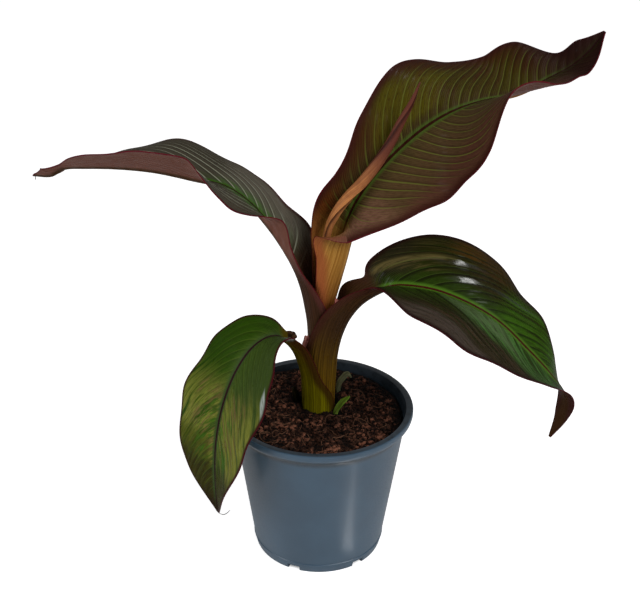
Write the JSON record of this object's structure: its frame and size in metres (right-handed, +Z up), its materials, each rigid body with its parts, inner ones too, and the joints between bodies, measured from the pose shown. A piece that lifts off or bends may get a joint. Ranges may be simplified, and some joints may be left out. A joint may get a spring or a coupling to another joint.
{
  "type": "potted red abyssinian banana",
  "caption": "Young banana plant with broad red-green leaves arching from a sheathed stem and one leaf still rolled, standing in coir in a tapered round nursery pot.",
  "frame": {"origin": "centre of the flat pad in the middle of the pot's underside, on the surface that the pot stands on", "axes": "+Z up along the pot's axis; the plant's front, with the lowest leaf forward, faces -Y; the two upper leaves spread along X"},
  "size_m": [0.3458, 0.1578, 0.3283],
  "materials": {
    "pot_plastic": "satin slate blue moulded plastic",
    "coir": "loose dark brown coir with reddish fibres",
    "green_leaf": "satin green with yellow and burgundy mottling",
    "dark_green_leaf": "glossy dark green with brown margins",
    "dusky_leaf": "satin grey burgundy with green veins",
    "red_brown_leaf": "satin olive brown with green veins and burgundy margins",
    "amber_leaf": "satin orange brown turning burgundy at the tip",
    "shoot": "satin bright green",
    "pale_shoot": "matte pale green",
    "dried_leaf": "matte dark olive"
  },
  "bodies": {
    "root": {"pot": "pot_plastic", "soil": "coir", "leaf_1": "green_leaf", "leaf_2": "dark_green_leaf", "leaf_3": "dusky_leaf", "leaf_4": "red_brown_leaf", "rolled_leaf": "amber_leaf", "green_shoot": "shoot", "wilted_shoot": "pale_shoot", "dried_leaf_base": "dried_leaf"}
  },
  "joints": []
}
